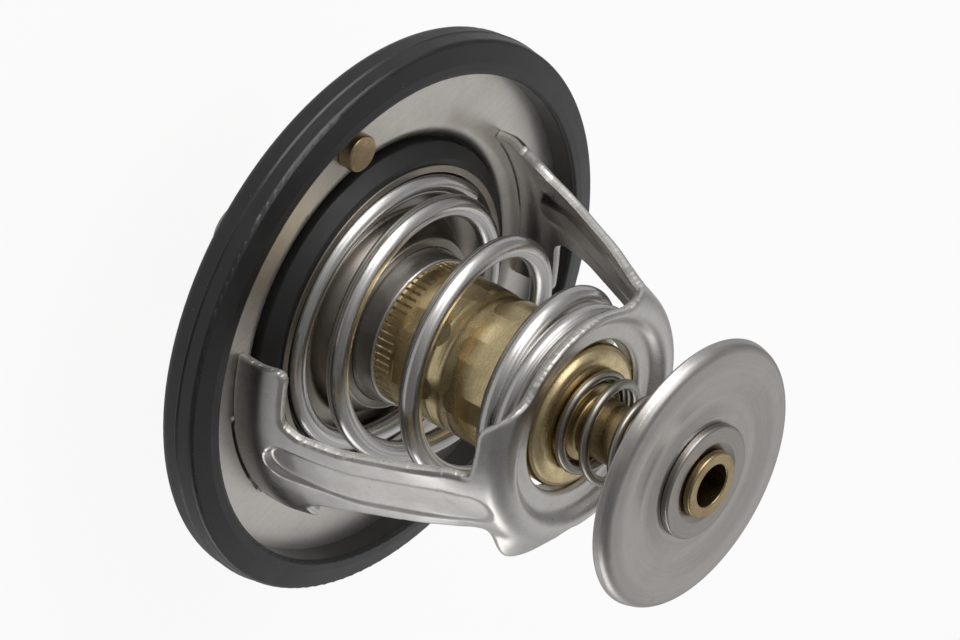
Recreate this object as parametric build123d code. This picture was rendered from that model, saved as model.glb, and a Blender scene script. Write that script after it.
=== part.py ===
# Engine thermostat with a wax element, a sprung main valve and a bypass disc.
# Millimetres. The origin is on the axis, at the engine side face of the flange.
# +Z runs along the axis to the bypass disc, +X goes through one leg of the frame.
import os
from math import asin, cos, degrees, pi, radians, sin, tan

from build123d import *

# Clearances and gaps
contact_gap = 0.02
seat_gap = 0.1
running_gap = 0.06
bypass_hole_gap = 0.12

# Wax element, outer radius
element_radius = 7.1

# Rubber gasket
gasket_radius = 28.0
flange_radius = gasket_radius - 1.0
gasket_mouth = flange_radius - 2.4
gasket_top = 2.6
gasket_shoulder = 1.9
gasket_bottom = -2.0
parting_height = 0.25
parting_bead = 0.1

# Flange
flange_sheet = 0.9
shoulder_radius = 1.9
throat_radius = flange_radius - 9.65
seat_outer = throat_radius - 0.1
seat_top = -1.4
seat_inner = seat_outer - 1.95
seat_bottom = -2.8
neck_radius = seat_inner - 0.1
neck_bottom = -4.4

# Lower frame
frame_sheet = 0.95
frame_turn = 1.35
foot_radius = throat_radius + 3.15
foot_waist = foot_radius - 0.1
leg_foot_x = foot_radius - 1.5
leg_foot_z = 7.0
leg_slope = 0.353
ring_top = 25.6
ring_radius = 11.2
ring_bend = 2.4
lobe_half = 8.5
lobe_fillet = 3.0
ear_bottom = 23.05
ear_rise = 1.2
dish_top = 24.5
dish_radius = 10.3
dish_floor_radius = 9.4
hole_radius = element_radius + 0.43
hole_collar_wall = 0.55
hole_collar_bottom = 22.8
wing_turn = 33.05
wing_height = 4.85
wing_corner = 0.8
wing_fillet = 2.2
short_wing_low = 6.75
short_wing_high = 8.65
leg_bottom_half = 4.25
leg_bottom_z = 8.2
leg_top_half = 3.85
leg_top_z = 22.2
rib_bottom = (2.25, 5.1)
rib_top = (2.05, 22.2)
rib_depth_bottom = 0.55
rib_depth_top = 0.3
tab_half_angle = 13.0
tab_reach = (foot_radius + gasket_mouth) / 2 + 0.05

# Outlet bridge
bridge_turn = 31.0
bridge_sheet = 1.1
bridge_half = 4.6
bridge_foot_outer = gasket_mouth - 1.4
bridge_foot_inner = throat_radius + 1.75
bridge_apex_x = 9.4
bridge_apex = -14.8
bridge_hub_radius = 6.6
cap_radius = 3.4
cap_end = -19.3

# Valve plate and seal
valve_sheet = 0.75
channel_floor = -0.1
channel_inner = element_radius + 3.2
rim_radius = seat_inner - 0.1
rim_top = 1.3
hub_top = 3.2
hub_top_radius = element_radius + 1.5
seal_radius = seat_outer - 0.25
seal_inner = rim_radius - 1.6
seal_top = 1.1

# Collar between hub and wax element
collar_radius = element_radius + 0.7
collar_top = 5.4
collar_base_radius = element_radius + 2.4

# Wax element
case_radius = element_radius
case_wall = 0.7
case_end = 25.0
case_end_wall = 2.4
case_flange_radius = case_radius + 1.85
case_flange_top = -0.95
crimp_bottom = -3.75
crimp_wall = 0.8
groove_height = 12.9
groove_depth = 0.22
groove_half = 1.3
facet_count = 8
facet_depth = 0.1
tooth_count = 60
tooth_bottom = 5.0
tooth_top = 7.1
guide_flange_top = -1.9
guide_flange_bottom = -3.2
guide_spigot_top = -0.9
guide_nose_radius = 4.3
guide_nose_end = -10.2
wiper_radius = 3.3
wiper_top = -8.7
wiper_bottom = -9.9
washer_radius = case_radius - 1.1
washer_thickness = 0.4
boot_flange_radius = case_radius - 0.9
boot_flange = 1.2
boot_radius = 3.6
boot_tip = 18.5

# Piston
piston_radius = 2.2
piston_tip = 15.9

# Main spring, wire and path as height and mean radius against turns
main_wire = 1.05
main_bottom_radius = rim_radius - 1.9
main_top_radius = hole_radius + hole_collar_wall + main_wire + 0.12
main_start_angle = -160.0
main_rise = [(0.0, 0.0), (0.52, 0.0), (1.0, 0.095), (1.53, 0.232), (2.03, 0.455), (2.53, 0.608),
             (3.03, 0.863), (3.55, 0.962), (4.03, 1.0), (4.57, 1.0)]
main_taper = [(0.0, 0.0), (0.3, 0.03), (1.0, 0.29), (2.0, 0.51), (2.75, 0.737), (3.6, 0.97), (4.57, 1.0)]

# Bypass spring
bypass_wire = 0.475
bypass_bottom_radius = 4.65
bypass_top_radius = 4.1
bypass_start_angle = 30.0
bypass_turns = 5.5
bypass_dead_turns = 0.7

# Bypass stem, disc and washer
stem_radius = 2.85
stem_foot_radius = 3.9
stem_foot = 0.7
stem_spigot_radius = 2.2
stem_spigot = 1.3
stem_bore = 2.1
stem_end = 39.6
flare_radius = 3.25
flare_height = 0.7
disc_sheet = 0.8
disc_radius = 13.2
disc_face = 38.2
disc_edge = 36.6
disc_valley = 37.85
disc_crown = 38.3
bypass_washer_radius = 5.6
bypass_washer_thickness = 0.75

# Jiggle valve
jiggle_orbit = flange_radius - 6.1
jiggle_angle = -94.2
jiggle_hole = 1.25
jiggle_shank = 0.95
jiggle_head_radius = 1.8
jiggle_head = 1.45
jiggle_lift = 1.2
jiggle_weight_radius = 2.3
jiggle_weight_length = 2.0
jiggle_upset = 0.35


# Flat face with rounded corners from (x, y) or (x, y, radius) corners
def rounded(corners):
    points = [Vector(c[0], c[1]) for c in corners]
    radii = [c[2] if len(c) > 2 else 0 for c in corners]
    starts = []
    ends = []
    count = len(points)
    edges = []
    for i in range(count):
        here = points[i]
        back = (points[i - 1] - here).normalized()
        ahead = (points[(i + 1) % count] - here).normalized()
        if radii[i] == 0:
            starts.append(here)
            ends.append(here)
            continue
        half = back.get_angle(ahead) * pi / 360
        reach = radii[i] / tan(half)
        middle = (back + ahead).normalized()
        starts.append(here + back * reach)
        ends.append(here + ahead * reach)
        edges.append(ThreePointArc(starts[i], here + middle * (radii[i] / sin(half) - radii[i]), ends[i]))
    for i in range(count):
        after = (i + 1) % count
        if (starts[after] - ends[i]).length > 1e-6:
            edges.append(Line(ends[i], starts[after]))
    return make_face(Wire.combine([e.edge() for e in edges])[0])


# Body of revolution from a half section of (radius, height) corners
def turned(corners):
    return revolve(Plane.XZ * rounded(corners), Axis.Z)


# Slab whose outline is given in the XZ plane, thick along Y both ways
def slab(corners, half):
    return extrude(Plane.XZ * rounded(corners), half, both=True)


# Smooth reading between (turn, value) knots
def between(knots, at):
    for k in range(len(knots) - 1):
        if at <= knots[k + 1][0] or k == len(knots) - 2:
            break
    before = knots[max(k - 1, 0)]
    low = knots[k]
    high = knots[k + 1]
    beyond = knots[min(k + 2, len(knots) - 1)]
    span = high[0] - low[0]
    rise_low = (high[1] - before[1]) / (high[0] - before[0])
    rise_high = (beyond[1] - low[1]) / (beyond[0] - low[0])
    if low[1] == high[1]:
        rise_low = 0
        rise_high = 0
    if low[1] == before[1]:
        rise_low = 0
    if high[1] == beyond[1]:
        rise_high = 0
    t = (at - low[0]) / span
    return ((2 * t**3 - 3 * t**2 + 1) * low[1] + (t**3 - 2 * t**2 + t) * span * rise_low
            + (3 * t**2 - 2 * t**3) * high[1] + (t**3 - t**2) * span * rise_high)


# Round wire swept along a coil, path(turn) gives the radius and height
def coil(path, turns, start_angle, wire, steps):
    points = []
    for i in range(steps + 1):
        turn = turns * i / steps
        radius, height = path(turn)
        angle = radians(start_angle + 360 * turn)
        points.append(Vector(radius * cos(angle), radius * sin(angle), height))
    line = Spline(*points)
    return sweep(Plane(origin=line @ 0, z_dir=line % 0) * Circle(wire), path=line)


# Both halves of what is drawn on the +X side
def both_sides(shape):
    return shape + Rot(0, 0, 180) * shape


os.makedirs("parts", exist_ok=True)
nodes = {}

# Gasket: U section round the flange rim, crowned lip and a fine parting bead outside
nodes["gasket"] = turned([
    (gasket_mouth, contact_gap),
    (gasket_mouth, gasket_top, 0.4),
    (gasket_radius - 2.2, gasket_top - 0.15),
    (gasket_radius - 0.15, gasket_shoulder, 0.5),
    (gasket_radius, parting_height + 0.2),
    (gasket_radius + parting_bead, parting_height),
    (gasket_radius, parting_height - 0.2),
    (gasket_radius, gasket_bottom, 1.1),
    (gasket_mouth, gasket_bottom, 0.6),
    (gasket_mouth, -flange_sheet - contact_gap),
    (flange_radius + contact_gap, -flange_sheet - contact_gap),
    (flange_radius + contact_gap, contact_gap),
])

# Flange: flat rim, large shoulder, throat, conical seat and neck in one drawn sheet
seat_slope = (seat_top - seat_bottom) / (seat_outer - seat_inner)
seat_drop = flange_sheet * (1 + seat_slope**2)**0.5
flange = turned([
    (flange_radius, 0),
    (throat_radius, 0, shoulder_radius),
    (seat_outer, seat_top, 0.4),
    (seat_inner, seat_bottom, 0.5),
    (neck_radius, neck_bottom),
    (neck_radius + flange_sheet, neck_bottom),
    (neck_radius + flange_sheet, seat_bottom - seat_drop + seat_slope * flange_sheet, 1.2),
    (throat_radius + flange_sheet, seat_top - seat_drop + seat_slope, 1.0),
    (throat_radius + flange_sheet, -flange_sheet, shoulder_radius - flange_sheet),
    (flange_radius, -flange_sheet),
])
slot_inner = foot_radius - frame_sheet - 0.12
slot_outer = foot_radius + 0.2
slot = Circle(slot_outer) - Circle(slot_inner)
slot_half = tab_half_angle + 2.0
slot_far = 2 * foot_radius
slot_side = slot_far * tan(radians(slot_half))
wedge = make_face(Polyline((0, 0), (slot_far, slot_side), (slot_far, -slot_side), close=True))
slot_tool = extrude(Pos(0, 0, -2) * (slot & wedge), 4)
jiggle_place = Rot(0, 0, jiggle_angle) * Pos(jiggle_orbit, 0, 0)
flange -= Rot(0, 0, frame_turn) * both_sides(slot_tool)
flange -= jiggle_place * Cylinder(jiggle_hole, 4)
nodes["flange_plate"] = flange


# Leg surface at a height, for the flat part of the leg
def leg_x(height):
    return leg_foot_x - leg_slope * (height - leg_foot_z)


# Horizontal section of a leg, bowed by a sagitta over the half width
def leg_section(height, middle, sagitta, half):
    inner = middle - frame_sheet * (1 + leg_slope**2)**0.5
    front = ThreePointArc((middle - sagitta, -half), (middle, 0), (middle - sagitta, half))
    rear = ThreePointArc((inner - sagitta, half), (inner, 0), (inner - sagitta, -half))
    ends = [Line(front @ 1, rear @ 0), Line(rear @ 1, front @ 0)]
    return Pos(0, 0, height) * make_face([front.edge(), rear.edge()] + [e.edge() for e in ends])


# Lower frame, top: dished ring with a turned down collar, its edge folds down into the legs
leg_across = frame_sheet * (1 + leg_slope**2)**0.5
top_cut = leg_top_z - 0.6
bend_radius = leg_x(ring_top)
crown = turned([
    (leg_x(top_cut), top_cut),
    (bend_radius, ring_top, ring_bend),
    (dish_radius, ring_top, 0.6),
    (dish_floor_radius, dish_top, 0.6),
    (hole_radius, dish_top, 0.5),
    (hole_radius, hole_collar_bottom),
    (hole_radius + hole_collar_wall, hole_collar_bottom),
    (hole_radius + hole_collar_wall, dish_top - frame_sheet),
    (dish_floor_radius + 0.1, dish_top - frame_sheet, 0.5),
    (dish_radius + 0.1, ring_top - frame_sheet, 0.5),
    (bend_radius - leg_across + leg_slope * frame_sheet, ring_top - frame_sheet, ring_bend - frame_sheet),
    (leg_x(top_cut) - leg_across, top_cut),
])
crown_plan = Circle(ring_radius) + Rectangle(2 * foot_radius, 2 * lobe_half)
waist_corners = [v for v in crown_plan.vertices() if abs(v.X) < ring_radius]
crown_plan = fillet(waist_corners, lobe_fillet)
crown &= extrude(Pos(0, 0, top_cut - 1) * crown_plan, 6)

# Lower frame, leg: bowed at the foot, flat along the middle, bowed again at the fold
leg_bow_half = 7.8
foot_bow = foot_radius - (foot_radius**2 - leg_bow_half**2)**0.5
fold_bow = leg_x(leg_top_z) - (leg_x(leg_top_z)**2 - leg_bow_half**2)**0.5
leg_root = loft([
    leg_section(2.4, foot_waist - 0.05, foot_bow, leg_bow_half),
    leg_section(4.6, foot_waist - 0.55, foot_bow, leg_bow_half),
    leg_section(7.5, leg_x(7.5) + 0.05, foot_bow / 2, leg_bow_half),
    leg_section(11.5, leg_x(11.5), 0.04, leg_bow_half),
    leg_section(16.5, leg_x(16.5), 0.04, leg_bow_half),
    leg_section(19.5, leg_x(19.5), fold_bow * 0.4, leg_bow_half),
    leg_section(leg_top_z, leg_x(leg_top_z), fold_bow, leg_bow_half),
])
foot_shell = turned([
    (foot_radius, contact_gap),
    (foot_waist, 2.6, 6.0),
    (leg_x(5.9), 5.9),
    (leg_x(5.9) - leg_across, 5.9),
    (foot_waist - frame_sheet, 2.45, 5.0),
    (foot_radius - frame_sheet, contact_gap),
])

# Lower frame, outline: wings at the foot, waist, leg, and ears that are longer on the front leg
wing_far = 0.62 * foot_radius
leg_outline = [
    (wing_far, -1),
    (wing_far, wing_height),
    (leg_bottom_half + 1.7, wing_height, wing_fillet),
    (leg_bottom_half, leg_bottom_z, 2.0),
]
front_half = leg_outline + [
    (leg_top_half, leg_top_z, 1.5),
    (leg_top_half + 0.9, ear_bottom, 1.0),
    (lobe_half, ear_bottom, 1.3),
    (lobe_half, ring_top - 1.5),
    (foot_radius, ring_top - 1.5),
    (foot_radius, ring_top + 1),
]
back_half = leg_outline + [
    (leg_top_half, leg_top_z, 2.0),
    (leg_top_half + 2.1, ear_bottom + ear_rise, 1.5),
    (lobe_half, ring_top - 0.6),
    (foot_radius, ring_top - 0.6),
    (foot_radius, ring_top + 1),
]


# Tool that keeps what lies inside an outline, mirrored to both sides of one leg
def leg_tool(half):
    corners = half + [(-c[0],) + tuple(c[1:]) for c in reversed(half)]
    return extrude(Plane.YZ.offset(leg_start) * rounded(corners), foot_radius)


leg_start = hole_radius + 0.07
feet = foot_shell & Box(4 * foot_radius, 2 * wing_far - 0.2, 20)
frame = crown + both_sides(leg_root) + feet
frame &= leg_tool(front_half) + Rot(0, 0, 180) * leg_tool(back_half) + Pos(0, 0, ring_top) * Box(
    2 * leg_start, 4 * foot_radius, 8)


# Tool that trims a wing square to the sheet, lean is how far its end leans out at the top
def wing_tool(turn, lean):
    plane = Plane(origin=(0, 0, 0), x_dir=(-sin(radians(turn)), cos(radians(turn)), 0),
                  z_dir=(cos(radians(turn)), sin(radians(turn)), 0))
    way = 1 if turn > 0 else -1
    foot = -lean / wing_height
    beyond = [
        (way * foot, -1),
        (way * lean, wing_height, wing_corner),
        (way * (lean - 3), wing_height),
        (way * (lean - 3), wing_height + 2),
        (way * 9, wing_height + 2),
        (way * 9, -1),
    ]
    return extrude(plane * rounded(beyond), 2 * foot_radius)


short_turn = degrees(asin(short_wing_low / foot_waist))
short_lean = short_wing_high - short_wing_low
frame -= both_sides(wing_tool(-wing_turn, 0))
frame -= both_sides(wing_tool(short_turn, short_lean))

# Flat stadium rib pressed into each leg, deeper at the foot
rib_tilt = (rib_depth_bottom - rib_depth_top) / (rib_top[1] - rib_bottom[1])
rib_slope = leg_slope + rib_tilt
rib_origin = Vector(leg_x(rib_bottom[1]) - rib_depth_bottom, 0, rib_bottom[1])
rib_plane = Plane(origin=rib_origin, x_dir=(0, 1, 0), z_dir=(1, 0, rib_slope))
rib_length = (rib_top[1] - rib_bottom[1]) * (1 + rib_slope**2)**0.5


# Tapered stadium outline, grown by a margin
def stadium(margin):
    low = rib_bottom[0] + margin
    high = rib_top[0] + margin
    sides = Polyline((-low, 0), (low, 0), (high, rib_length), (-high, rib_length), close=True)
    return make_face(sides) + Circle(low) + Pos(0, rib_length) * Circle(high)


rib_cut = extrude(rib_plane * stadium(0), 4)
rib_pad = extrude(rib_plane * stadium(-0.35), -frame_sheet)
frame = (frame + both_sides(rib_pad)) - both_sides(rib_cut)

# Tab through the flange slot, folded outwards under the flange
tab_far = 2 * foot_radius
tab_side = tab_far * tan(radians(tab_half_angle))
tab_wedge = make_face(Polyline((0, 0), (tab_far, tab_side), (tab_far, -tab_side), close=True))
tab = turned([
    (foot_radius - frame_sheet, 1.0),
    (foot_radius, 1.0),
    (foot_radius, -flange_sheet - contact_gap),
    (tab_reach, -flange_sheet - contact_gap),
    (tab_reach, -flange_sheet - contact_gap - frame_sheet),
    (foot_radius - frame_sheet, -flange_sheet - contact_gap - frame_sheet, 0.8),
]) & extrude(Pos(0, 0, -5) * tab_wedge, 10)
frame += both_sides(tab)
nodes["lower_frame"] = Rot(0, 0, frame_turn) * frame

# Outlet bridge: strap arch with a drawn cap that holds the piston
foot_face = -flange_sheet - contact_gap
strap = slab([
    (bridge_foot_outer, foot_face),
    (bridge_foot_inner, foot_face, 1.5),
    (bridge_apex_x, bridge_apex, 2.4),
    (0, bridge_apex),
    (0, bridge_apex - bridge_sheet),
    (bridge_apex_x + 0.75, bridge_apex - bridge_sheet, 3.5),
    (bridge_foot_inner + 0.75, foot_face - bridge_sheet, 0.6),
    (bridge_foot_outer, foot_face - bridge_sheet),
], bridge_half + 2)
strap_half = make_face(Polyline((0, 0), (0, 4.4), (bridge_apex_x, 4.4), (18, bridge_half), (40, bridge_half), (40, 0),
                                close=True))
strap_plan = strap_half + mirror(strap_half, Plane.XZ) + Circle(bridge_hub_radius)
strap_plan &= Circle(bridge_foot_outer)
bridge = both_sides(strap) & extrude(Pos(0, 0, -30) * (strap_plan + Rot(0, 0, 180) * strap_plan), 30)
cap_bore = piston_radius + 0.1
bridge += turned([
    (0, cap_end),
    (cap_radius, cap_end, 0.9),
    (cap_radius, bridge_apex - bridge_sheet, 0.9),
    (cap_radius + 1.6, bridge_apex - bridge_sheet),
    (cap_radius + 1.6, bridge_apex),
    (0, bridge_apex),
])
bridge -= turned([
    (0, cap_end + bridge_sheet),
    (cap_bore, cap_end + bridge_sheet, 0.4),
    (cap_bore, bridge_apex, 0.8),
    (cap_bore + 2, bridge_apex),
    (cap_bore + 2, bridge_apex + 3),
    (0, bridge_apex + 3),
])
nodes["outlet_bridge"] = Rot(0, 0, bridge_turn) * bridge

# Piston: rod seated in the cap, tapered tip inside the boot
piston_foot = cap_end + bridge_sheet + contact_gap
nodes["piston"] = turned([
    (0, piston_foot),
    (piston_radius, piston_foot, 0.4),
    (piston_radius, piston_tip - 1.6, 0.6),
    (1.1, piston_tip, 0.5),
    (0, piston_tip),
])

# Valve plate: spring channel with an upright rim and a conical hub
cone_base = collar_base_radius + contact_gap * 2
cone_top = collar_radius + contact_gap * 2
nodes["valve_plate"] = turned([
    (rim_radius - valve_sheet, rim_top, 0.1),
    (rim_radius, rim_top, 0.1),
    (rim_radius, channel_floor - valve_sheet, 0.8),
    (cone_base, channel_floor - valve_sheet),
    (cone_top, hub_top),
    (hub_top_radius, hub_top, 0.25),
    (channel_inner, channel_floor, 0.6),
    (rim_radius - valve_sheet, channel_floor, 0.3),
])

# Rubber seal round the rim, chamfered to the conical seat
seat_lift = seat_gap * (1 + seat_slope**2)**0.5
chamfer_low_r = seat_inner + 0.2
chamfer_low_z = seat_top - (seat_outer - chamfer_low_r) * seat_slope + seat_lift
chamfer_high_z = seat_top - (seat_outer - seal_radius) * seat_slope + seat_lift
seal_bore = rim_radius + contact_gap
seal_shelf = channel_floor - valve_sheet - contact_gap
nodes["valve_seal"] = turned([
    (seal_bore, seal_top),
    (seal_bore + 0.5, seal_top, 0.3),
    (seal_radius - 0.45, seal_top - 0.75, 0.3),
    (seal_radius, seal_top - 1.15, 0.3),
    (seal_radius, chamfer_high_z, 0.15),
    (chamfer_low_r, chamfer_low_z, 0.3),
    (seal_inner, chamfer_low_z, 0.4),
    (seal_inner, seal_shelf),
    (seal_bore, seal_shelf),
])

# Collar: turned cone under the hub with a sleeve round the case
sleeve_bore = case_radius + contact_gap
collar_foot = case_flange_top + contact_gap
nodes["hub_collar"] = turned([
    (sleeve_bore, collar_foot),
    (collar_base_radius, collar_foot),
    (collar_radius, hub_top - 0.1, 1.0),
    (collar_radius - 0.35, collar_top, 0.25),
    (sleeve_bore, collar_top),
])

# Wax element case: brass cup with a crimped mouth, rolled groove and collet flats
case_bore = case_radius - case_wall
flange_pocket = case_flange_radius - crimp_wall
case = turned([
    (0, case_end - case_end_wall),
    (case_bore, case_end - case_end_wall, 0.8),
    (case_bore, guide_flange_top + contact_gap),
    (flange_pocket, guide_flange_top + contact_gap),
    (flange_pocket, guide_flange_bottom - contact_gap),
    (case_bore + 0.8, guide_flange_bottom - contact_gap),
    (case_bore + 0.8, crimp_bottom),
    (case_flange_radius, crimp_bottom, 0.4),
    (case_flange_radius, case_flange_top, 0.3),
    (case_radius, case_flange_top),
    (case_radius, groove_height - groove_half, 2.0),
    (case_radius - groove_depth, groove_height, 2.0),
    (case_radius, groove_height + groove_half, 2.0),
    (case_radius, case_end, 1.3),
    (stem_spigot_radius + contact_gap, case_end),
    (stem_spigot_radius + contact_gap, case_end - stem_spigot - 0.1),
    (0, case_end - stem_spigot - 0.1),
])
facet_width = 2 * case_radius * sin(pi / facet_count) * 0.93
facet_tool = Pos(case_radius - facet_depth + 1, 0, 15.6) * Box(2, facet_width, 16.4)
for i in range(facet_count):
    case -= Rot(0, 0, 2 + 360 * (i + 0.5) / facet_count) * facet_tool
tooth_height = tooth_top - tooth_bottom
tooth = Pos(case_radius + 0.09, 0, tooth_bottom + tooth_height / 2) * Rot(0, 0, 45) * Box(0.32, 0.32, tooth_height)
for i in range(tooth_count):
    case -= Rot(0, 0, 360 * i / tooth_count) * tooth
nodes["element_case"] = case

# Guide: turned brass cover that closes the case and carries the piston
piston_bore = piston_radius + running_gap
nodes["element_guide"] = turned([
    (piston_bore, wiper_top),
    (piston_bore, guide_spigot_top),
    (case_bore - contact_gap, guide_spigot_top),
    (case_bore - contact_gap, guide_flange_top),
    (flange_pocket - contact_gap, guide_flange_top),
    (flange_pocket - contact_gap, guide_flange_bottom),
    (guide_nose_radius, guide_flange_bottom, 0.5),
    (guide_nose_radius, guide_nose_end, 0.7),
    (wiper_radius - 0.5, guide_nose_end),
    (wiper_radius - 0.5, wiper_bottom),
    (wiper_radius, wiper_bottom),
    (wiper_radius, wiper_top),
])

# Wiper seal in the mouth of the guide
nodes["piston_wiper"] = turned([
    (piston_radius + contact_gap, wiper_bottom + contact_gap, 0.2),
    (wiper_radius - contact_gap, wiper_bottom + contact_gap),
    (wiper_radius - contact_gap, wiper_top - contact_gap),
    (piston_radius + contact_gap, wiper_top - contact_gap, 0.2),
])

# Backup washer, rubber boot round the piston tip, and the wax round the boot
washer_low = guide_spigot_top + contact_gap
washer_high = washer_low + washer_thickness
nodes["backup_washer"] = turned([
    (piston_bore, washer_low),
    (washer_radius, washer_low),
    (washer_radius, washer_high),
    (piston_bore, washer_high),
])
boot_low = washer_high + contact_gap
boot_high = boot_low + boot_flange
nodes["rubber_boot"] = turned([
    (piston_bore, boot_low),
    (boot_flange_radius, boot_low),
    (boot_flange_radius, boot_high, 0.3),
    (boot_radius, boot_high, 0.5),
    (boot_radius - 0.3, boot_tip, 1.6),
    (0, boot_tip),
    (0, piston_tip + 0.3),
    (1.3, piston_tip + 0.3, 0.5),
    (piston_bore, piston_tip - 1.4, 0.6),
])
wax_gap = contact_gap * 2
nodes["wax_charge"] = turned([
    (boot_radius + wax_gap, boot_high + wax_gap, 0.4),
    (case_bore - wax_gap, boot_high + wax_gap),
    (case_bore - wax_gap, case_end - case_end_wall - wax_gap, 0.9),
    (0, case_end - case_end_wall - wax_gap),
    (0, boot_tip + wax_gap),
    (boot_radius - 0.3 + wax_gap, boot_tip + wax_gap, 1.6),
])

# Main spring: closed coil in the valve channel, closed coil under the ring
main_low = channel_floor + main_wire + contact_gap
main_high = dish_top - frame_sheet - main_wire - contact_gap
main_turns = main_rise[-1][0]


def main_path(turn):
    radius = main_bottom_radius + (main_top_radius - main_bottom_radius) * between(main_taper, turn)
    return radius, main_low + (main_high - main_low) * between(main_rise, turn)


nodes["main_spring"] = coil(main_path, main_turns, main_start_angle, main_wire, 74)

# Bypass stem: hollow, pressed into the case end, flared over the washer
stem_low = case_end + contact_gap
washer_seat = disc_face + contact_gap
washer_face = washer_seat + bypass_washer_thickness
nodes["bypass_stem"] = turned([
    (0, stem_low - stem_spigot),
    (stem_spigot_radius, stem_low - stem_spigot, 0.3),
    (stem_spigot_radius, stem_low),
    (stem_foot_radius, stem_low),
    (stem_foot_radius, stem_low + stem_foot, 0.2),
    (stem_radius, stem_low + stem_foot, 0.3),
    (stem_radius, washer_face - 0.45),
    (flare_radius, washer_face - 0.05),
    (flare_radius, stem_end, 0.2),
    (stem_bore, stem_end, 0.15),
    (stem_bore, stem_low + 2),
    (0, stem_low + 2 - 0.6),
])

# Washer under the flare, countersunk hole
nodes["bypass_washer"] = turned([
    (stem_radius + contact_gap, washer_seat),
    (bypass_washer_radius, washer_seat, 0.1),
    (bypass_washer_radius, washer_face, 0.25),
    (flare_radius + 0.75, washer_face, 0.2),
    (flare_radius + contact_gap, washer_face - 0.3),
    (stem_radius + contact_gap, washer_face - 0.45),
])

# Bypass disc: shallow dished stamping with a turned down skirt
disc_bore = stem_radius + bypass_hole_gap
disc = turned([
    (disc_bore, disc_face),
    (bypass_washer_radius + 0.5, disc_face, 1.0),
    (7.7, disc_valley, 3.0),
    (10.8, disc_crown, 4.0),
    (disc_radius - 0.35, disc_face - 0.25, 1.0),
    (disc_radius, disc_edge, 0.2),
    (disc_radius - disc_sheet, disc_edge, 0.2),
    (disc_radius - disc_sheet - 0.35, disc_face - 0.25 - disc_sheet, 0.6),
    (10.8, disc_crown - disc_sheet, 3.4),
    (7.7, disc_valley - disc_sheet, 3.4),
    (bypass_washer_radius + 0.5, disc_face - disc_sheet, 1.4),
    (disc_bore, disc_face - disc_sheet),
])
nodes["bypass_disc"] = disc

# Bypass spring between the stem foot and the disc
bypass_low = case_end + bypass_wire + contact_gap * 2
bypass_high = disc_face - disc_sheet - bypass_wire - contact_gap * 2
bypass_active = bypass_turns - 2 * bypass_dead_turns


def bypass_path(turn):
    share = min(max((turn - bypass_dead_turns) / bypass_active, 0), 1)
    eased = between([(0.0, 0.0), (0.12, 0.07), (0.5, 0.5), (0.88, 0.93), (1.0, 1.0)], share)
    radius = bypass_bottom_radius + (bypass_top_radius - bypass_bottom_radius) * share
    return radius, bypass_low + (bypass_high - bypass_low) * eased


nodes["bypass_spring"] = coil(bypass_path, bypass_turns, bypass_start_angle, bypass_wire, 80)

# Jiggle pin with a round head above the flange, weight swaged on below
weight_top = -flange_sheet - jiggle_lift
weight_low = weight_top - jiggle_weight_length
nodes["jiggle_pin"] = jiggle_place * turned([
    (0, weight_low - jiggle_upset),
    (jiggle_shank + 0.4, weight_low - jiggle_upset, 0.2),
    (jiggle_shank + 0.4, weight_low - contact_gap),
    (jiggle_shank, weight_low - contact_gap),
    (jiggle_shank, contact_gap * 2),
    (jiggle_head_radius, contact_gap * 2, 0.15),
    (jiggle_head_radius, contact_gap * 2 + jiggle_head, 0.25),
    (0, contact_gap * 2 + jiggle_head),
])
nodes["jiggle_weight"] = jiggle_place * turned([
    (jiggle_shank + contact_gap, weight_low),
    (jiggle_weight_radius, weight_low, 0.5),
    (jiggle_weight_radius, weight_top, 1.0),
    (jiggle_shank + contact_gap, weight_top),
])

for name, shape in nodes.items():
    export_step(Part() + shape, f"parts/{name}.step")
    print(name, round(shape.volume, 1), len(shape.solids()), shape.bounding_box())
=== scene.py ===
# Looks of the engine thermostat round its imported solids. Metres, the part's own frame.
from math import ceil, cos, pi, radians, sin, tan

import bmesh
import bpy
import numpy as np
from mathutils import Matrix, Vector
from mathutils.geometry import delaunay_2d_cdt
from mathutils.kdtree import KDTree


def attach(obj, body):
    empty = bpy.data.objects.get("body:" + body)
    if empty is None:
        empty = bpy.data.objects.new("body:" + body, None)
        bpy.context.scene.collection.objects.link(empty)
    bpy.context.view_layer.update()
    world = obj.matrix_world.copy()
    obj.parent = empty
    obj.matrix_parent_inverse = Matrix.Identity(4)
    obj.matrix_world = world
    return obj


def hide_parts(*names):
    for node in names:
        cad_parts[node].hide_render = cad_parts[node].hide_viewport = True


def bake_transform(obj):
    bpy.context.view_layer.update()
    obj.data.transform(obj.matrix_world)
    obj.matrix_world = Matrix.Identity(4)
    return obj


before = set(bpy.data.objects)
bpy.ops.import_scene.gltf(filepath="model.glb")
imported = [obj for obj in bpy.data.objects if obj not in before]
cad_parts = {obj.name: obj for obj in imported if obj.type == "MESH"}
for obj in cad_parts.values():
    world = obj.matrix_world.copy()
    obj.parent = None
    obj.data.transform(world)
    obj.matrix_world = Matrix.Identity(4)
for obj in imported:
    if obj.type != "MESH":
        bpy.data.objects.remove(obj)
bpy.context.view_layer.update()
MM = 0.001

# Colours of dust, stains and pits
DUST = (0.3, 0.29, 0.27)
RUST = (0.30, 0.22, 0.14)
PIT = (0.12, 0.11, 0.10)


# Node of a material, with sockets or plain values on its inputs
def node(tree, kind, inputs=None, **settings):
    made = tree.nodes.new(kind)
    for key, value in settings.items():
        setattr(made, key, value)
    for key, value in (inputs or {}).items():
        if isinstance(value, bpy.types.NodeSocket):
            tree.links.new(value, made.inputs[key])
        else:
            made.inputs[key].default_value = value
    return made


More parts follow.
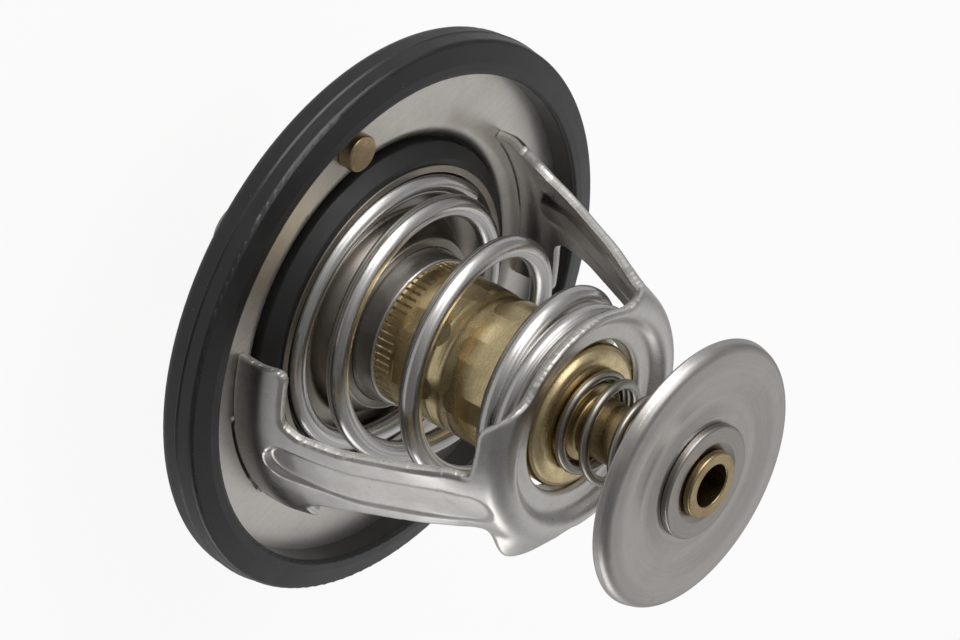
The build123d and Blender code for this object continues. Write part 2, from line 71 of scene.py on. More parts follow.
# New material and its shader
def begin(name, **sockets):
    made = bpy.data.materials.new(name)
    made.use_nodes = True
    tree = made.node_tree
    shader = tree.nodes["Principled BSDF"]
    for key, value in sockets.items():
        shader.inputs[key.replace("_", " ")].default_value = value
    return made, tree, shader


# Position on the piece in millimetres
def place(tree):
    source = node(tree, "ShaderNodeTexCoord").outputs["Object"]
    return node(tree, "ShaderNodeVectorMath", {0: source, "Scale": 1000.0}, operation="SCALE").outputs[0]


# Arithmetic on numbers or sockets
def calc(tree, kind, *values):
    return node(tree, "ShaderNodeMath", dict(enumerate(values)), operation=kind).outputs[0]


# Noise between 0 and 1, size in millimetres
def noise(tree, where, size, detail=3.0, rough=0.55, warp=0.0):
    made = node(tree, "ShaderNodeTexNoise", {"Vector": where, "Scale": 1.0 / size, "Detail": detail,
                                             "Roughness": rough, "Distortion": warp})
    return made.outputs["Fac"]


# Stretched copy of a vector
def stretch(tree, where, x, y, z):
    return node(tree, "ShaderNodeVectorMath", {0: where, 1: (x, y, z)}, operation="MULTIPLY").outputs[0]


# Vector that changes fast across the radius and height, and slowly round the axis, as lathe marks do
def lathe_marks(tree, where, across, around, height_share=1.37):
    parts = node(tree, "ShaderNodeSeparateXYZ", {0: where}).outputs
    squares = [calc(tree, "MULTIPLY", parts[i], parts[i]) for i in (0, 1)]
    reach = calc(tree, "SQRT", calc(tree, "ADD", *squares))
    safe = calc(tree, "MAXIMUM", reach, 0.01)
    side = calc(tree, "MULTIPLY", calc(tree, "DIVIDE", parts[0], safe), around)
    ahead = calc(tree, "MULTIPLY", calc(tree, "DIVIDE", parts[1], safe), around)
    height = calc(tree, "MULTIPLY", parts[2], height_share)
    level = calc(tree, "MULTIPLY", calc(tree, "ADD", reach, height), across)
    return node(tree, "ShaderNodeCombineXYZ", {0: side, 1: ahead, 2: level}).outputs[0]


# Colour or grey along stops of (position, value)
def ramp(tree, factor, *stops):
    made = node(tree, "ShaderNodeValToRGB", {"Fac": factor})
    line = made.color_ramp
    while len(line.elements) < len(stops):
        line.elements.new(0.5)
    for element, (position, value) in zip(line.elements, stops):
        element.position = position
        tone = value if isinstance(value, tuple) else (value, value, value)
        element.color = (*tone, 1.0)
    return made.outputs["Color"]


# Mix of two colours, factor 1 gives the second
def blend_colour(tree, factor, first, second):
    made = node(tree, "ShaderNodeMix", data_type="RGBA")
    for index, value in ((0, factor), (6, first), (7, second)):
        if isinstance(value, bpy.types.NodeSocket):
            tree.links.new(value, made.inputs[index])
        else:
            made.inputs[index].default_value = value if index == 0 else (*value, 1.0)
    return made.outputs[2]


# Socket of a shader fed by a node
def connect(tree, value, shader, name):
    tree.links.new(value, shader.inputs[name])


# Bump of a height between 0 and 1, reach is its depth in millimetres
def bump(tree, shader, height, strength, reach):
    made = node(tree, "ShaderNodeBump", {"Height": height, "Strength": strength, "Distance": reach * MM})
    connect(tree, made.outputs[0], shader, "Normal")


# Darker or lighter copy of a colour
def shade(tone, share):
    return tuple(share * t for t in tone)


# Lightest tone that a metal takes from its base colour
def lifted(tone):
    return tuple(min(1.1 * t, 0.95) for t in tone)


# Black rubber, fine skin grain with pale dust specks
def rubber(name, tone, dust, rough=0.42):
    made, tree, shader = begin(name, Specular_IOR_Level=0.75)
    where = place(tree)
    cloud = noise(tree, where, 3.5, 4.0)
    base = ramp(tree, cloud, (0.35, shade(tone, 0.7)), (0.7, shade(tone, 1.35)))
    specks = node(tree, "ShaderNodeTexVoronoi", {"Vector": where, "Scale": 1.35, "Randomness": 1.0})
    spot = ramp(tree, specks.outputs["Distance"], (0.035, 1.0), (0.075, 0.0))
    rare = ramp(tree, noise(tree, where, 1.3, 1.0), (0.58, 0.0), (0.62, dust))
    lit = calc(tree, "MULTIPLY", spot, rare)
    connect(tree, blend_colour(tree, lit, base, DUST), shader, "Base Color")
    connect(tree, ramp(tree, cloud, (0.3, rough - 0.06), (0.75, rough + 0.1)), shader, "Roughness")
    bump(tree, shader, noise(tree, where, 0.25, 5.0), 0.3, 0.04)
    return made


# Cold rolled sheet: satin steel in soft clouds, with fine grain, rolling lines and faint warm stains
def sheet_steel(name, tone, rough, lines=0.3, stains=0.25, marks=None, grain_size=0.35):
    made, tree, shader = begin(name, Metallic=1.0)
    where = place(tree)
    cloud = noise(tree, where, 4.5, 4.0, 0.6)
    fine = noise(tree, where, grain_size, 4.0, 0.65)
    rolled = noise(tree, stretch(tree, where, 0.06, 3.2, 0.35), 0.7, 3.0)
    dark = shade(tone, 0.82)
    light = lifted(tone)
    base = ramp(tree, cloud, (0.3, dark), (0.72, light))
    base = blend_colour(tree, 0.35, base, ramp(tree, fine, (0.32, dark), (0.68, light)))
    base = blend_colour(tree, lines, base, ramp(tree, rolled, (0.3, dark), (0.7, light)))
    warm = ramp(tree, noise(tree, where, 6.0, 3.0, 0.5, 0.8), (0.5, 0.0), (0.8, stains))
    base = blend_colour(tree, warm, base, RUST)
    pits = ramp(tree, noise(tree, where, 0.6, 2.0), (0.22, 0.4), (0.27, 0.0))
    base = blend_colour(tree, pits, base, PIT)
    grain = fine
    if marks:
        grain = noise(tree, lathe_marks(tree, where, *marks), 1.0, 3.0)
        base = blend_colour(tree, 0.35, base, ramp(tree, grain, (0.3, dark), (0.7, light)))
    connect(tree, base, shader, "Base Color")
    connect(tree, ramp(tree, cloud, (0.25, rough - 0.05), (0.75, rough + 0.07)), shader, "Roughness")
    bump(tree, shader, calc(tree, "ADD", grain, calc(tree, "MULTIPLY", cloud, 1.5)), 0.15, 0.02)
    return made


# Cut edge of sheet: a burnished band at the outer side and a duller torn band, v runs through the sheet
def cut_edge(name, tone):
    made, tree, shader = begin(name, Metallic=1.0)
    through = node(tree, "ShaderNodeSeparateXYZ", {0: node(tree, "ShaderNodeTexCoord").outputs["UV"]}).outputs
    ragged = calc(tree, "ADD", through[1], calc(tree, "MULTIPLY", noise(tree, place(tree), 0.5, 3.0), 0.35))
    base = ramp(tree, ragged, (0.5, tone), (0.7, shade(tone, 0.7)), (1.0, shade(tone, 0.6)))
    grain = noise(tree, place(tree), 0.15, 3.0)
    base = blend_colour(tree, 0.3, base, ramp(tree, grain, (0.35, (0.2, 0.18, 0.16)), (0.6, tone)))
    connect(tree, base, shader, "Base Color")
    connect(tree, ramp(tree, ragged, (0.45, 0.42), (0.65, 0.55)), shader, "Roughness")
    bump(tree, shader, grain, 0.3, 0.03)
    return made


# Drawn wire: polished, with long streaks along it from the die, u runs along the wire in millimetres
def wire_steel(name, tone):
    made, tree, shader = begin(name, Metallic=1.0)
    along = node(tree, "ShaderNodeTexCoord").outputs["UV"]
    streak = noise(tree, stretch(tree, along, 0.05, 26.0, 1.0), 1.0, 3.0)
    patch = noise(tree, stretch(tree, along, 0.35, 4.0, 1.0), 1.0, 2.0)
    dark = shade(tone, 0.66)
    base = ramp(tree, streak, (0.28, dark), (0.5, tone), (0.75, lifted(tone)))
    base = blend_colour(tree, ramp(tree, patch, (0.6, 0.0), (0.8, 0.35)), base, dark)
    connect(tree, base, shader, "Base Color")
    connect(tree, ramp(tree, streak, (0.3, 0.33), (0.7, 0.2)), shader, "Roughness")
    bump(tree, shader, streak, 0.2, 0.02)
    return made


# Turned or drawn brass, old gold with brown tarnish in clouds
def brass(name, tone, brown, tarnish, rough, marks):
    made, tree, shader = begin(name, Metallic=1.0)
    where = place(tree)
    cloud = noise(tree, where, 3.2, 4.0, 0.6, 0.5)
    fine = noise(tree, where, 0.22, 4.0, 0.7)
    turned = noise(tree, lathe_marks(tree, where, *marks), 1.0, 3.0)
    base = ramp(tree, turned, (0.3, shade(tone, 0.78)), (0.7, tone))
    base = blend_colour(tree, ramp(tree, cloud, (0.42, 0.0), (0.75, tarnish)), base, brown)
    base = blend_colour(tree, 0.25, base, ramp(tree, fine, (0.3, brown), (0.6, tone)))
    connect(tree, base, shader, "Base Color")
    connect(tree, ramp(tree, cloud, (0.3, rough - 0.05), (0.75, rough + 0.14)), shader, "Roughness")
    bump(tree, shader, calc(tree, "ADD", turned, fine), 0.25, 0.03)
    return made


# Dark amber wax
def wax(name):
    made, tree, shader = begin(name, Roughness=0.45, Subsurface_Weight=0.2)
    where = place(tree)
    flakes = noise(tree, where, 0.6, 4.0)
    connect(tree, ramp(tree, flakes, (0.3, (0.28, 0.12, 0.05)), (0.7, (0.46, 0.24, 0.11))), shader, "Base Color")
    bump(tree, shader, flakes, 0.3, 0.05)
    return made


black = rubber("gasket_rubber", (0.0075, 0.0075, 0.008), 0.8, 0.35)
seal_black = rubber("seal_rubber", (0.006, 0.006, 0.006), 0.3, 0.46)
plate_steel = sheet_steel("flange_steel", (0.82, 0.785, 0.745), 0.38, 0.3, 0.15, grain_size=0.5)
frame_steel = sheet_steel("frame_steel", (0.71, 0.69, 0.665), 0.29, 0.12, 0.15, grain_size=0.6)
cut_steel = cut_edge("cut_edge_steel", (0.85, 0.83, 0.79))
bridge_steel = sheet_steel("bridge_steel", (0.58, 0.56, 0.53), 0.32, 0.2, 0.15)
# Valve plate: its dark base tone is partly painted shade of the dish deep inside the spring, partly brown stains
valve_steel_painted_shade = sheet_steel("valve_steel_painted_shade", (0.34, 0.31, 0.275), 0.3, 0.1, 0.5, (6.0, 2.0))
disc_steel = sheet_steel("disc_steel", (0.555, 0.53, 0.51), 0.32, 0.2, 0.4, (7.0, 1.6))
washer_steel = sheet_steel("washer_steel", (0.43, 0.40, 0.375), 0.32, 0.1, 0.1, (6.0, 1.6))
turned_steel = sheet_steel("turned_steel", (0.60, 0.58, 0.555), 0.24, 0.05, 0.1, (9.0, 1.2))
spring_wire = wire_steel("spring_wire", (0.67, 0.655, 0.635))
small_wire = wire_steel("small_wire", (0.38, 0.35, 0.31))
case_brass = brass("case_brass", (0.93, 0.76, 0.44), (0.24, 0.17, 0.085), 0.5, 0.22, (5.0, 2.2))
stem_brass = brass("stem_brass", (0.56, 0.43, 0.235), (0.16, 0.105, 0.05), 0.5, 0.26, (8.0, 2.0))
small_brass = brass("small_brass", (0.62, 0.48, 0.29), (0.14, 0.085, 0.035), 0.65, 0.26, (8.0, 2.0))
amber = wax("wax")

looks = {
    "gasket": black,
    "flange_plate": plate_steel,
    "lower_frame": frame_steel,
    "outlet_bridge": bridge_steel,
    "piston": turned_steel,
    "valve_plate": valve_steel_painted_shade,
    "valve_seal": seal_black,
    "hub_collar": turned_steel,
    "element_case": case_brass,
    "element_guide": case_brass,
    "piston_wiper": seal_black,
    "backup_washer": seal_black,
    "rubber_boot": seal_black,
    "wax_charge": amber,
    "bypass_stem": stem_brass,
    "bypass_washer": washer_steel,
    "bypass_disc": disc_steel,
    "jiggle_pin": small_brass,
    "jiggle_weight": small_brass,
}
for name, look in looks.items():
    solid = bpy.data.objects[name]
    solid.data.materials.clear()
    solid.data.materials.append(look)
    for face in solid.data.polygons:
        face.material_index = 0


# Smooth reading between (turn, value) knots, level where two neighbours are equal
def between(knots, at):
    for k in range(len(knots) - 1):
        if at <= knots[k + 1][0] or k == len(knots) - 2:
            break
    before = knots[max(k - 1, 0)]
    low = knots[k]
    high = knots[k + 1]
    beyond = knots[min(k + 2, len(knots) - 1)]
    span = high[0] - low[0]
    rise_low = (high[1] - before[1]) / (high[0] - before[0])
    rise_high = (beyond[1] - low[1]) / (beyond[0] - low[0])
    if low[1] == high[1]:
        rise_low = 0
        rise_high = 0
    if low[1] == before[1]:
        rise_low = 0
    if high[1] == beyond[1]:
        rise_high = 0
    t = (at - low[0]) / span
    return ((2 * t**3 - 3 * t**2 + 1) * low[1] + (t**3 - 2 * t**2 + t) * span * rise_low
            + (3 * t**2 - 2 * t**3) * high[1] + (t**3 - t**2) * span * rise_high)


# New object in the scene with its look
def add_object(name, mesh, look):
    made = bpy.data.objects.new(name, mesh)
    bpy.context.scene.collection.objects.link(made)
    mesh.materials.append(look)
    return made


# Round wire along a coil, path(turn) gives radius and height in millimetres, ends cut square
def coil(name, path, turns, start_angle, wire, steps, around, look):
    mesh = bpy.data.meshes.new(name)
    shape = bmesh.new()
    layer = shape.loops.layers.uv.new("along")
    nudge = 0.002

    def point(turn):
        radius, height = path(turn)
        angle = radians(start_angle + 360 * turn)
        return Vector((radius * cos(angle), radius * sin(angle), height))

    rings = []
    runs = []
    last = point(0)
    round_wire = [2 * pi * j / around for j in range(around)]
    for i in range(steps + 1):
        turn = turns * i / steps
        here = point(turn)
        ahead = (point(turn + nudge) - point(turn - nudge)).normalized()
        out = Vector((here.x, here.y, 0)).normalized()
        side = ahead.cross(out).normalized()
        out = side.cross(ahead)
        runs.append((runs[-1] if runs else 0.0) + (here - last).length)
        last = here
        rings.append([shape.verts.new((here + out * (wire * cos(a)) + side * (wire * sin(a))) * MM)
                      for a in round_wire])
    for i in range(steps):
        for j in range(around):
            k = (j + 1) % around
            face = shape.faces.new((rings[i][j], rings[i][k], rings[i + 1][k], rings[i + 1][j]))
            face.smooth = True
            for loop, (a, b) in zip(face.loops, ((i, j), (i, j + 1), (i + 1, j + 1), (i + 1, j))):
                loop[layer].uv = (runs[a], b / around)
    for ring in (rings[0], rings[-1]):
        shape.faces.new(ring).smooth = False
    bmesh.ops.recalc_face_normals(shape, faces=shape.faces)
    shape.to_mesh(mesh)
    shape.free()
    mesh.set_sharp_from_angle(angle=radians(50))
    return add_object(name, mesh, look)


# Main spring, the same path as the solid, closed in the valve channel and under the ring
main_wire = 1.05
main_turns = 4.57
main_start_angle = -160.0
main_foot_radius = 13.3
main_narrowing = 4.05
main_rise = [(0.0, 0.0), (0.52, 0.0), (1.0, 0.095), (1.53, 0.232), (2.03, 0.455), (2.53, 0.608),
             (3.03, 0.863), (3.55, 0.962), (4.03, 1.0), (main_turns, 1.0)]
main_taper = [(0.0, 0.0), (0.3, 0.03), (1.0, 0.29), (2.0, 0.51), (2.75, 0.737), (3.6, 0.97), (main_turns, 1.0)]
main_low = 0.97
main_high = 22.48


def main_path(turn):
    radius = main_foot_radius - main_narrowing * between(main_taper, turn)
    return radius, main_low + (main_high - main_low) * between(main_rise, turn)


main_spring = coil("main_coil", main_path, main_turns, main_start_angle, main_wire, 460, 28, spring_wire)
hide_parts("main_spring")
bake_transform(main_spring)

# Bypass spring between the end of the case and the disc, its end turns closed
case_end = 25.0
disc_face = 38.2
disc_sheet = 0.8
contact_gap = 0.04
bypass_wire = 0.475
bypass_turns = 5.5
bypass_dead_turns = 0.7
bypass_active_turns = 4.1
bypass_start_angle = 30.0
bypass_foot_radius = 4.65
bypass_narrowing = 0.55
bypass_rise = [(0.0, 0.0), (0.12, 0.07), (0.5, 0.5), (0.88, 0.93), (1.0, 1.0)]
bypass_low = case_end + bypass_wire + contact_gap
bypass_high = disc_face - disc_sheet - bypass_wire - contact_gap


def bypass_path(turn):
    share = min(max((turn - bypass_dead_turns) / bypass_active_turns, 0), 1)
    height = bypass_low + (bypass_high - bypass_low) * between(bypass_rise, share)
    return bypass_foot_radius - bypass_narrowing * share, height


bypass_spring = coil("bypass_coil", bypass_path, bypass_turns, bypass_start_angle, bypass_wire, 520, 20, small_wire)
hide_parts("bypass_spring")
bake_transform(bypass_spring)


# Path through (x, y) or (x, y, radius) corners, its arcs cut into short steps
def rounded_path(corners, step, closed=False):
    count = len(corners)
    points = []
    for i, corner in enumerate(corners):
        here = Vector(corner[:2])
        radius = corner[2] if len(corner) > 2 else 0
        if radius == 0 or (not closed and i in (0, count - 1)):
            points.append(here)
            continue
        back = (Vector(corners[i - 1][:2]) - here).normalized()
        ahead = (Vector(corners[(i + 1) % count][:2]) - here).normalized()
        half = back.angle(ahead) / 2
        middle = here + (back + ahead).normalized() * (radius / sin(half))
        first = here + back * (radius / tan(half))
        last = here + ahead * (radius / tan(half))
        steps = max(2, ceil((pi - 2 * half) * radius / step))
        for k in range(steps + 1):
            way = first.lerp(last, k / steps) - middle
            points.append(middle + way.normalized() * radius)
    return points


# Same path with its straight runs divided too
def divided(points, step, closed=False):
    made = []
    ends = points[1:] + points[:1] if closed else points[1:]
    for a, b in zip(points, ends):
        parts = max(1, ceil((b - a).length / step))
        made += [a.lerp(b, k / parts) for k in range(parts)]
    return made if closed else made + [points[-1]]


# Soft step from 0 at low to 1 at high
def ease(value, low, high):
    share = np.clip((value - low) / (high - low), 0, 1)
    return share * share * (3 - 2 * share)


# Lower frame: a flat blank folded to the drawn shape, u runs from the axis down a leg and v runs across it
frame_sheet = 0.95
frame_turn = 1.35
collar_wall = 0.55
collar_radius = 7.53
dish_top = 24.5
ring_top = 25.6
ring_flat_radius = 10.7
leg_slope = 0.353
foot_radius = 20.5
foot_bow_radius = 20.4
tab_top = -0.92
profile_step = 0.05
meridian = divided(rounded_path([
    (collar_radius, 22.8),
    (collar_radius, dish_top, 0.5),
    (9.4, dish_top, 0.8),
    (10.3, ring_top, 0.9),
    (19 - leg_slope * 18.6, ring_top, 2.4),
    (19 + leg_slope * 1.1, 5.9, 4.0),
    (20.4, 2.6, 6.0),
    (foot_radius, 0.4, 2.0),
    (foot_radius, tab_top, 0.15),
    (22.6, tab_top),
], profile_step), profile_step)
profile = np.array([(p.x, p.y) for p in meridian])
run = np.concatenate([[0], np.cumsum(np.hypot(*np.diff(profile, axis=0).T))])
level = int(np.argmin(np.abs(profile[:, 0] - ring_flat_radius) + np.abs(profile[:, 1] - ring_top) * 50))
run += profile[level, 0] - run[level]
hole_run = float(run[0])


# Distance down the blank at which the leg reaches a height
def down(height):
    leg = slice(level, len(run))
    return float(np.interp(-height, -profile[leg, 1], run[leg]))


ear_flare = 1.35
round_until = (15.0, 18.5)
ring_bow_heights = (16.0, 22.2)
foot_bow_heights = (4.6, 11.5)


# Outer face of the folded sheet over blank points: round near the axis, then straight down the legs, with the
# sheet bowed round the axis at the ring and at the foot, and one ear of the front leg bent outwards
def fold(u, v):
    reach = np.hypot(u, v)
    crown = 1 - ease(reach, *round_until)
    along = np.abs(u) + (reach - np.abs(u)) * crown
    radius = np.interp(along, run, profile[:, 0])
    height = np.interp(along, run, profile[:, 1])
    y = v * (1 + (radius / np.maximum(along, 0.1) - 1) * crown)
    ring_bow = ease(height, *ring_bow_heights) / np.maximum(radius, 1)
    bow = ring_bow + (1 - ease(height, *foot_bow_heights)) / foot_bow_radius
    x = radius - y * y * bow / (1 + np.sqrt(np.maximum(1 - (y * bow) ** 2, 0)))
    front = np.where(u > 0, 1.0, 0.0)
    flare = ear_flare * ease(v, 4.6, 8.8) * ease(along, 12.0, 14.8) * (1 - ease(along, 15.5, 19.0)) * front
    size = np.maximum(np.hypot(x, y), 0.1)
    grown = 1 + flare / size
    return np.stack([np.where(u > 0, x, -x) * grown, y * grown, height], 1)


# Pressed rib of each leg, its foot slants sideways
rib_bottom = 5.2
rib_top = 22.2
rib_half = 2.0
rib_swell = 0.18
rib_offset = 0.43
rib_slant = 2.05
rib_depth = 0.62
rib_fade = 0.4
ring_keep_out = 12.5


# How deep a blank point lies inside the pressed stadium rib, wall is the width of the rib's side
def rib(u, v, wall):
    height = np.interp(np.abs(u), run, profile[:, 1])
    half = rib_half + rib_swell * ease(height, 4.0, 10.0)
    middle = np.sign(u) * (rib_offset - rib_slant * (1 - ease(height, 2.6, 12.6)))
    slope_length = 1.06
    beyond = np.maximum(np.maximum(rib_bottom - height, height - rib_top), 0) * slope_length
    inside = half - np.hypot(v - middle, beyond)
    deep = rib_depth - rib_fade * ease(height, 3.5, 9.0)
    return deep * ease(inside, -wall * 0.25, wall * 0.75) * (np.hypot(u, v) > ring_keep_out)


# Outline of the blank: waist, ears that are longer on the front leg, legs, one long and one slanted wing, tab
wing_top = down(5.15)
wing_end = down(0.02)
front_ear = [(6.3, 9.42, 4.0), (11.95, 9.15, 1.5), (14.75, 4.25, 0.9)]
back_ear = [(7.6, 8.0, 2.5), (11.8, 7.25, 1.5), (14.5, 4.5, 1.3)]
leg_edge = [(18.5, 3.92), (27.8, 4.15, 8.0), (31.9, 4.85, 2.0), (wing_top, 6.0, 1.6)]
long_wing = [(wing_top, 11.0, 0.9), (wing_end, 11.4, 0.15)]
short_wing = [(wing_top, 8.65, 0.6), (wing_end, 6.75, 0.15)]
tab_edge = [(wing_end, 4.62, 0.3), (float(run[-1]), 4.95)]


# Outline of half a leg, mirrored along u by side and along v by across
def quarter(side, across, ear, wing):
    edge = ear + leg_edge + wing + tab_edge
    return [(side * c[0], across * c[1]) + tuple(c[2:]) for c in edge]


# Round side of the ring between the legs, from one angle to another
def waist(way, first, last, radius=11.2, middle=0.45, steps=26):
    turns = [radians(first + (last - first) * k / steps) for k in range(steps + 1)]
    return [(middle + way * radius * cos(a), way * radius * sin(a)) for a in turns]


# Corners of the whole blank in order
def blank_outline():
    front = quarter(1, -1, front_ear, long_wing) + quarter(1, 1, front_ear, short_wing)[::-1]
    back = quarter(-1, 1, back_ear, long_wing) + quarter(-1, -1, back_ear, short_wing)[::-1]
    return front + waist(1, 66, 118) + back + waist(-1, 62, 114)


# Function that gives the distance from a blank point to the nearest of some points
def distance_to(points):
    tree = KDTree(len(points))
    for k, p in enumerate(points):
        tree.insert((p.x, p.y, 0), k)
    tree.balance()
    return lambda p: tree.find((p[0], p[1], 0))[2]


# Edges that close a ring of points, numbered from start
def ring_edges(start, count):
    return [(start + k, start + (k + 1) % count) for k in range(count)]


# Triangles over the blank inside its outline, with its centre hole left open, and each point's distance to the
# outline
def blank_mesh(cell):
    half_length = 43.5
    half_width = 11.3
    beyond = 0.1
    hole_steps = 160
    row_pitch = 0.866
    outline = divided(rounded_path(blank_outline(), 0.15, True), cell, True)
    hole_turns = [2 * pi * k / hole_steps for k in range(hole_steps)]
    hole = [Vector((hole_run * cos(a), hole_run * sin(a))) for a in hole_turns]
    rows = np.arange(-half_width, half_width + beyond, cell * row_pitch)
    columns = np.arange(-half_length, half_length + beyond, cell)
    grid = np.array([(u + (k % 2) * cell / 2, v) for k, v in enumerate(rows) for u in columns])
    grid = grid[np.hypot(grid[:, 0], grid[:, 1]) > hole_run]
    rim = outline + hole
    to_rim = distance_to(rim)
    to_outline = distance_to(outline)
    inner = [Vector(p) for p in grid if to_rim(p) > cell * 0.55]
    edges = ring_edges(0, len(outline)) + ring_edges(len(outline), hole_steps)
    inside_only = 1
    made = delaunay_2d_cdt(rim + inner, edges, [], inside_only, 1e-6)
    flat = np.array([(p.x, p.y) for p in made[0]])
    on_hole = np.hypot(flat[:, 0], flat[:, 1]) < hole_run * 1.001
    faces = [f for f in made[2] if not all(on_hole[k] for k in f)]
    return flat, faces, np.array([to_outline(p) for p in flat])


# Outer and inner points of the folded sheet, the outer edge is rolled over where margin is small
def both_faces(u, v, margin):
    nudge = 0.05
    outer_rib_wall = 0.6
    inner_rib_wall = 1.2
    roll_depth = 0.24
    roll_width = 0.4
    outer = fold(u, v)
    normal = np.cross(fold(u + nudge, v) - fold(u - nudge, v), fold(u, v + nudge) - fold(u, v - nudge))
    normal /= np.maximum(np.linalg.norm(normal, axis=1), 1e-9)[:, None]
    thick = collar_wall + (frame_sheet - collar_wall) * ease(np.hypot(u, v), hole_run + 1.3, hole_run + 2.6)
    inner = outer - normal * (thick + rib(u, v, inner_rib_wall))[:, None]
    roll = roll_depth * np.clip(1 - margin / roll_width, 0, 1) ** 2
    return outer - normal * (rib(u, v, outer_rib_wall) + roll)[:, None], inner


# Folded sheet: outer and inner faces, and the cut edge between them with its own look
def frame_mesh(name, cell, turn):
    flat, faces, margin = blank_mesh(cell)
    outer, inner = both_faces(flat[:, 0], flat[:, 1], margin)
    spin = np.array([[cos(turn), -sin(turn), 0], [sin(turn), cos(turn), 0], [0, 0, 1]])
    shape = bmesh.new()
    layer = shape.loops.layers.uv.new("blank")
    top = [shape.verts.new(p) for p in outer @ spin.T * MM]
    low = [shape.verts.new(p) for p in inner @ spin.T * MM]
    sides = set()
    for f in faces:
        for points, ring in ((top, f), (low, f[::-1])):
            face = shape.faces.new([points[k] for k in ring])
            for loop, k in zip(face.loops, ring):
                loop[layer].uv = flat[k]
        sides.update(zip(f, list(f[1:]) + [f[0]]))
    for a, b in sides:
        if (b, a) in sides:
            continue
        wall = shape.faces.new((top[b], top[a], low[a], low[b]))
        wall.material_index = 1
        for loop, (k, deep) in zip(wall.loops, ((b, 0), (a, 0), (a, 1), (b, 1))):
            loop[layer].uv = (flat[k][0] + flat[k][1], deep)
    for face in shape.faces:
        face.smooth = True
    mesh = bpy.data.meshes.new(name)
    shape.to_mesh(mesh)
    shape.free()
    mesh.set_sharp_from_angle(angle=radians(40))
    return mesh


frame_piece = add_object("frame_sheet", frame_mesh("frame_sheet", 0.22, radians(frame_turn)), frame_steel)
frame_piece.data.materials.append(cut_steel)
rounding = frame_piece.modifiers.new("rounding", "BEVEL")
rounding.width = 0.08 * MM
rounding.segments = 2
rounding.limit_method = "ANGLE"
rounding.angle_limit = radians(50)
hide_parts("lower_frame")
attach(frame_piece, "flange")

# Floor, a round pale sheet, it keeps a soft shadow of the part
floor_radius = 0.45
floor_level = -0.0194
floor_corners = 96
seen_glow = 0.82
mirrored_glow = 0.15
floor_mesh = bpy.data.meshes.new("floor")
floor_shape = bmesh.new()
floor_turns = [2 * pi * k / floor_corners for k in range(floor_corners)]
floor_shape.faces.new([floor_shape.verts.new((floor_radius * cos(a), floor_radius * sin(a), floor_level))
                       for a in floor_turns])
floor_shape.to_mesh(floor_mesh)
floor_shape.free()
floor_look = bpy.data.materials.new("floor_paper")
floor_look.use_nodes = True
floor_tree = floor_look.node_tree
floor_tree.nodes.remove(floor_tree.nodes["Principled BSDF"])
rays = node(floor_tree, "ShaderNodeLightPath").outputs
seen = calc(floor_tree, "MAXIMUM", rays["Is Camera Ray"], rays["Is Transmission Ray"])
seen = calc(floor_tree, "MULTIPLY", seen, seen_glow)
mirrored = calc(floor_tree, "MULTIPLY", rays["Is Glossy Ray"], mirrored_glow)
seen = calc(floor_tree, "ADD", seen, mirrored)
paper_tone = noise(floor_tree, place(floor_tree), 40.0, 2.0)
paper_colour = ramp(floor_tree, paper_tone, (0.2, (0.70, 0.70, 0.70)), (0.8, (0.72, 0.72, 0.72)))
paper = node(floor_tree, "ShaderNodeBsdfDiffuse", {"Color": paper_colour}).outputs[0]
glow = node(floor_tree, "ShaderNodeEmission", {"Color": (1, 1, 1, 1), "Strength": 1.1}).outputs[0]
both = node(floor_tree, "ShaderNodeMixShader", {0: seen, 1: paper, 2: glow})
floor_tree.links.new(both.outputs[0], floor_tree.nodes["Material Output"].inputs["Surface"])
floor = add_object("floor", floor_mesh, floor_look)

# Camera at the photograph's angle, rolled as it is there
stand = (0.192009, -0.342152, 0.252921)
part_middle = Vector((0, 0, 0.008))
forward = Vector((-0.42249, 0.73771, -0.52657))
right = Vector((-0.63675, 0.17187, 0.75167))
upward = right.cross(forward)
eye = bpy.data.objects.new("camera", bpy.data.cameras.new("camera"))
bpy.context.scene.collection.objects.link(eye)
eye.data.lens = 187.5
eye.data.sensor_width = 36.0
eye.data.clip_start = 0.01
eye.data.clip_end = 50.0
aim = Matrix((right, upward, -forward)).transposed().to_4x4()
eye.matrix_world = Matrix.Translation(stand) @ aim
bpy.context.scene.camera = eye


# Direction from shares of the view's right, up and back directions
def view_way(across, above, behind):
    return (right * across + upward * above - forward * behind).normalized()


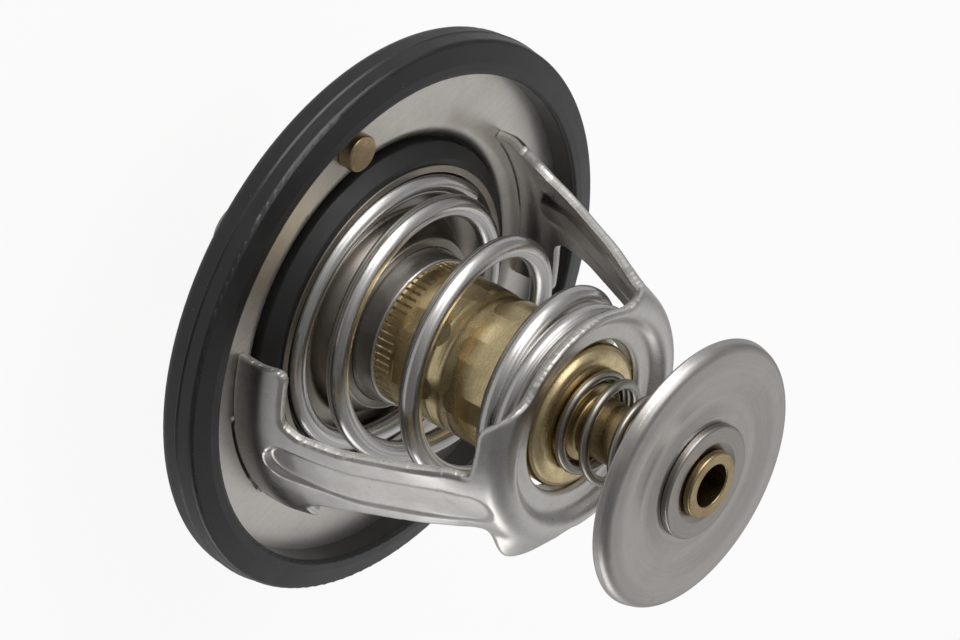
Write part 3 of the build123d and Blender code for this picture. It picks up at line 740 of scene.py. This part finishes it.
# Soft box that looks at the part, sizes in metres and power in watts
def soft_box(name, direction, distance, width, height, power):
    lamp = bpy.data.objects.new(name, bpy.data.lights.new(name, "AREA"))
    bpy.context.scene.collection.objects.link(lamp)
    lamp.data.shape = "RECTANGLE"
    lamp.data.size = width
    lamp.data.size_y = height
    lamp.data.energy = power
    lamp.location = part_middle + direction * distance
    lamp.rotation_mode = "QUATERNION"
    lamp.rotation_quaternion = direction.to_track_quat("Z", "Y")


soft_box("key", view_way(0.1, 0.8, 0.6), 0.9, 0.75, 0.6, 3.2)
soft_box("side", view_way(0.6, 0.35, 0.7), 1.0, 0.6, 0.6, 1.3)
soft_box("low", view_way(-0.3, -0.85, -0.35), 0.9, 0.6, 0.6, 1.1)

# World: white for the eye, for the metals a grey room with soft bright sides
world = bpy.data.worlds.new("studio")
bpy.context.scene.world = world
world.use_nodes = True
sky = world.node_tree
sky.nodes.clear()
look_way = node(sky, "ShaderNodeTexCoord").outputs["Generated"]


# Soft bright patch of the room round one direction
def bright_side(direction, narrow, strength):
    facing = node(sky, "ShaderNodeVectorMath", {0: look_way, 1: tuple(direction)}, operation="DOT_PRODUCT")
    near = calc(sky, "MAXIMUM", calc(sky, "MULTIPLY_ADD", facing.outputs["Value"], 0.5, 0.5), 0.0)
    return calc(sky, "MULTIPLY", calc(sky, "POWER", near, narrow), strength)


room_grey = 0.14
room = bright_side(view_way(0.0, 0.85, 0.4), 9.0, 0.9)
for direction, narrow, strength in (
    (view_way(0.5, 0.45, 0.75), 8.0, 0.45),
    (view_way(-0.35, -0.8, -0.5), 16.0, 1.1),
    (view_way(0.75, -0.35, -0.5), 10.0, 0.5),
):
    room = calc(sky, "ADD", room, bright_side(direction, narrow, strength))
room = calc(sky, "ADD", room, room_grey)
sky_rays = node(sky, "ShaderNodeLightPath").outputs
room_colour = node(sky, "ShaderNodeCombineColor", {0: room, 1: room, 2: room}).outputs[0]
shown = blend_colour(sky, sky_rays["Is Camera Ray"], room_colour, (1, 1, 1))
back = node(sky, "ShaderNodeBackground", {"Color": shown, "Strength": 1.0}).outputs[0]
sky_out = node(sky, "ShaderNodeOutputWorld")
sky.links.new(back, sky_out.inputs["Surface"])

bpy.context.scene.view_settings.view_transform = "Standard"
